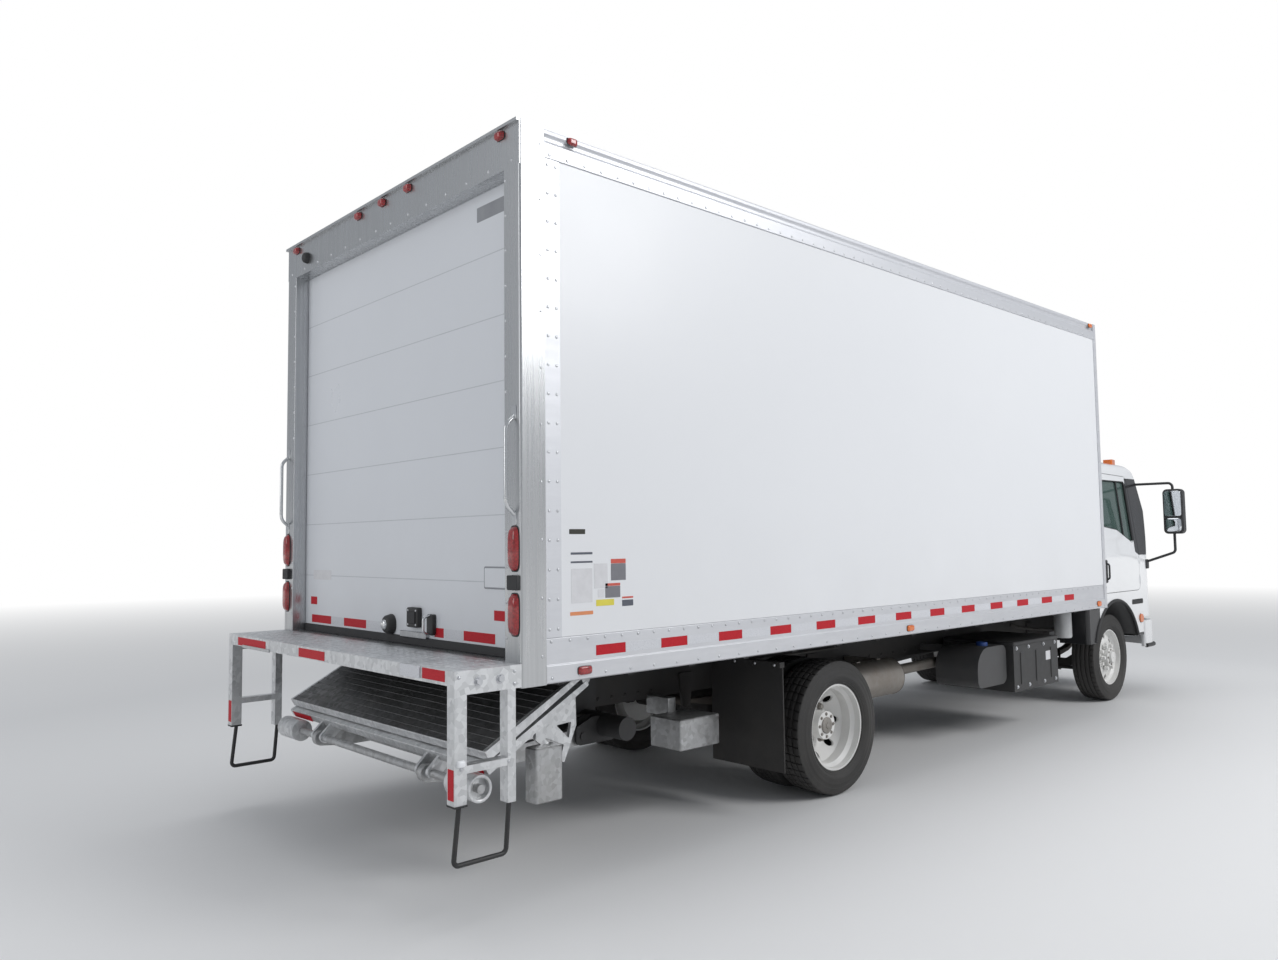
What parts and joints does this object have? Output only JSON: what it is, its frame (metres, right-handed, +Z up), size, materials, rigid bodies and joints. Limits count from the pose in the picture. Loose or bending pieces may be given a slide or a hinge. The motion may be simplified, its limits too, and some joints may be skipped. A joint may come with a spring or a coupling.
{
  "type": "box truck",
  "caption": "Low-cab-forward box truck with a smooth white freight body, roll-up rear door and tuck-under liftgate.",
  "frame": {"origin": "on the ground, midway between the deck's rear edge and the front bumper's face, on the centre line", "axes": "+X forward, +Y to the truck's left, +Z up"},
  "size_m": [8.26, 2.7, 3.33],
  "materials": {
    "body_white": "gloss white, slightly dusty",
    "cab_white": "gloss white",
    "rail_aluminium": "white-painted and mill aluminium extrusions",
    "stainless": "brushed stainless",
    "galvanised": "hot-dip galvanised, spangled",
    "chassis_black": "satin black, dusty",
    "platform_metal": "dull, worn",
    "wheel_white": "white enamel with road dust",
    "tyre_rubber": "matt black",
    "rubber": "matt black",
    "black_plastic": "grained black",
    "glass_tint": "light tint",
    "lens": "red and amber lenses",
    "headlamp_lens": "clear lens over a bright bowl",
    "seat_grey": "grey cloth and dark plastic",
    "tank_steel": "dull metal",
    "exhaust_steel": "heat-stained steel"
  },
  "bodies": {
    "root": {"frame_rails": "chassis_black", "frame_crossmembers": "chassis_black", "front_axle_beam": "chassis_black", "leaf_springs": "chassis_black", "rear_axle_housing": "chassis_black", "driveshaft": "chassis_black", "engine_block": "chassis_black", "muffler": "exhaust_steel", "battery_box": "black_plastic", "reductant_tank": "black_plastic", "fuel_tank": "chassis_black", "mudflaps": "rubber", "front_bumper": "cab_white", "body_floor": "galvanised", "side_walls": "body_white", "front_wall": "body_white", "body_roof": "body_white", "body_rails": "rail_aluminium", "rear_frame": "stainless", "roll_door": "body_white", "door_latch": "black_plastic", "grab_rods": "stainless", "body_lamps": "lens", "liftgate_deck": "galvanised", "wire_steps": "chassis_black", "liftgate_mount": "chassis_black", "tilt_hinge": "chassis_black"},
    "cab": {"cab_shell": "cab_white", "front_panel": "cab_white", "cab_glass": "glass_tint", "cab_interior": "seat_grey", "mirrors": "black_plastic", "headlamps": "headlamp_lens", "cab_roof": "cab_white", "cab_back": "cab_white", "cab_floor": "chassis_black", "cab_lamps": "lens"},
    "steer_left": {"knuckle_left": "chassis_black"},
    "steer_right": {"knuckle_right": "chassis_black"},
    "tie_rod": {"tie_rod": "chassis_black"},
    "liftgate": {"lift_arms": "galvanised", "liftgate_platform": "platform_metal"},
    "front_wheel_left": {"front_tyre_left": "tyre_rubber", "front_rim_left": "wheel_white"},
    "rear_wheels_left": {"rear_tyres_left": "tyre_rubber", "rear_rims_left": "wheel_white"},
    "cab_door_left": {"door_left": "cab_white", "door_glass_left": "glass_tint"},
    "front_wheel_right": {"front_tyre_right": "tyre_rubber", "front_rim_right": "wheel_white"},
    "rear_wheels_right": {"rear_tyres_right": "tyre_rubber", "rear_rims_right": "wheel_white"},
    "cab_door_right": {"door_right": "cab_white", "door_glass_right": "glass_tint"}
  },
  "joints": [
    {"name": "steering_left", "type": "hinge", "parent": "root", "child": "steer_left", "pos_m": [3.02, 0.69, 0.395], "axis": [0, 0, 1], "range_deg": [-36, 36]},
    {"name": "front_wheel_left_spin", "type": "hinge", "parent": "steer_left", "child": "front_wheel_left", "pos_m": [3.02, 0.83, 0.395], "axis": [0, 1, 0], "continuous": true},
    {"name": "rear_wheels_left_spin", "type": "hinge", "parent": "root", "child": "rear_wheels_left", "pos_m": [-1.43, 0.857, 0.395], "axis": [0, 1, 0], "continuous": true},
    {"name": "cab_door_left_hinge", "type": "hinge", "parent": "cab", "child": "cab_door_left", "pos_m": [3.62, 1, 1.087], "axis": [0, 0, -1], "range_deg": [0, 70]},
    {"name": "steering_right", "type": "hinge", "parent": "root", "child": "steer_right", "pos_m": [3.02, -0.69, 0.395], "axis": [0, 0, 1], "range_deg": [-36, 36]},
    {"name": "front_wheel_right_spin", "type": "hinge", "parent": "steer_right", "child": "front_wheel_right", "pos_m": [3.02, -0.83, 0.395], "axis": [0, 1, 0], "continuous": true},
    {"name": "rear_wheels_right_spin", "type": "hinge", "parent": "root", "child": "rear_wheels_right", "pos_m": [-1.43, -0.857, 0.395], "axis": [0, 1, 0], "continuous": true},
    {"name": "cab_door_right_hinge", "type": "hinge", "parent": "cab", "child": "cab_door_right", "pos_m": [3.62, -1, 1.087], "axis": [0, 0, 1], "range_deg": [0, 70]},
    {"name": "tie_rod_pivot", "type": "hinge", "parent": "steer_left", "child": "tie_rod", "pos_m": [2.83, 0.69, 0.293], "axis": [0, 0, 1], "range_deg": [-36, 36]},
    {"name": "cab_tilt", "type": "hinge", "parent": "root", "child": "cab", "pos_m": [4.02, 0, 0.72], "axis": [0, 1, 0], "range_deg": [0, 45]},
    {"name": "liftgate_lift", "type": "hinge", "parent": "root", "child": "liftgate", "pos_m": [-2.98, 0, 0.5], "axis": [0, -1, 0], "range_deg": [0, 26]}
  ],
  "couplings": [
    {"joint": "steering_right", "follows": "steering_left", "ratio": 1},
    {"joint": "tie_rod_pivot", "follows": "steering_left", "ratio": -1}
  ]
}
